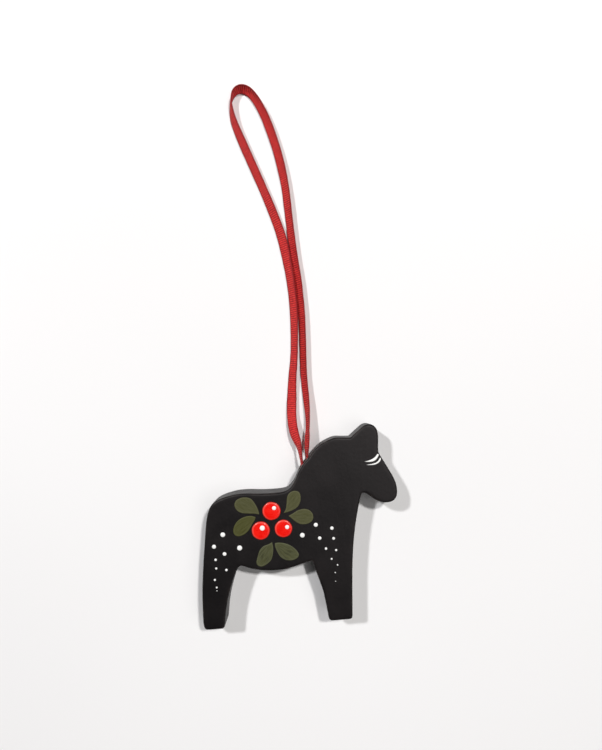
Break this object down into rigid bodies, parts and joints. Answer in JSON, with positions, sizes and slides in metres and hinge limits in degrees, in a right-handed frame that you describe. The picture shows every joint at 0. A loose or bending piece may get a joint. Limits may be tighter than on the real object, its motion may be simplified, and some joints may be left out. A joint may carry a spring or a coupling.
{
  "type": "dala horse",
  "caption": "Flat wooden folk-art horse ornament, painted on its front face, with a woven ribbon loop glued into its neck crest for hanging.",
  "frame": {"origin": "middle of the horse's outline, on the plain back face that it lies on", "axes": "+X to the horse's muzzle, +Y to its ears, +Z out of the painted front face"},
  "size_m": [0.0633, 0.1725, 0.01],
  "materials": {
    "black_painted_wood": "satin black paint on wood",
    "red_ribbon": "woven ribbed ribbon",
    "dried_glue": "dried wood glue",
    "berry_paint": "glossy red paint",
    "leaf_paint": "satin olive-green paint",
    "white_paint": "satin white paint"
  },
  "bodies": {
    "horse": {"horse_body": "black_painted_wood", "ribbon_tails": "red_ribbon", "glue_plug": "dried_glue", "berry_top": "berry_paint", "berry_left": "berry_paint", "berry_right": "berry_paint", "berry_highlights": "white_paint", "leaf_upper_left": "leaf_paint", "leaf_lower_left": "leaf_paint", "leaf_upper_right": "leaf_paint", "leaf_right": "leaf_paint", "leaf_bottom_left": "leaf_paint", "leaf_bottom_right": "leaf_paint", "rump_dots": "white_paint", "chest_dots": "white_paint", "eye_stroke_upper": "white_paint", "eye_stroke_lower": "white_paint"},
    "ribbon": {"ribbon_loop": "red_ribbon"}
  },
  "joints": [
    {"name": "ribbon_swing", "type": "hinge", "parent": "horse", "child": "ribbon", "pos_m": [0.0018, 0.0246, 0.00475], "axis": [0, 0, 1], "range_deg": [-35, 90]}
  ]
}
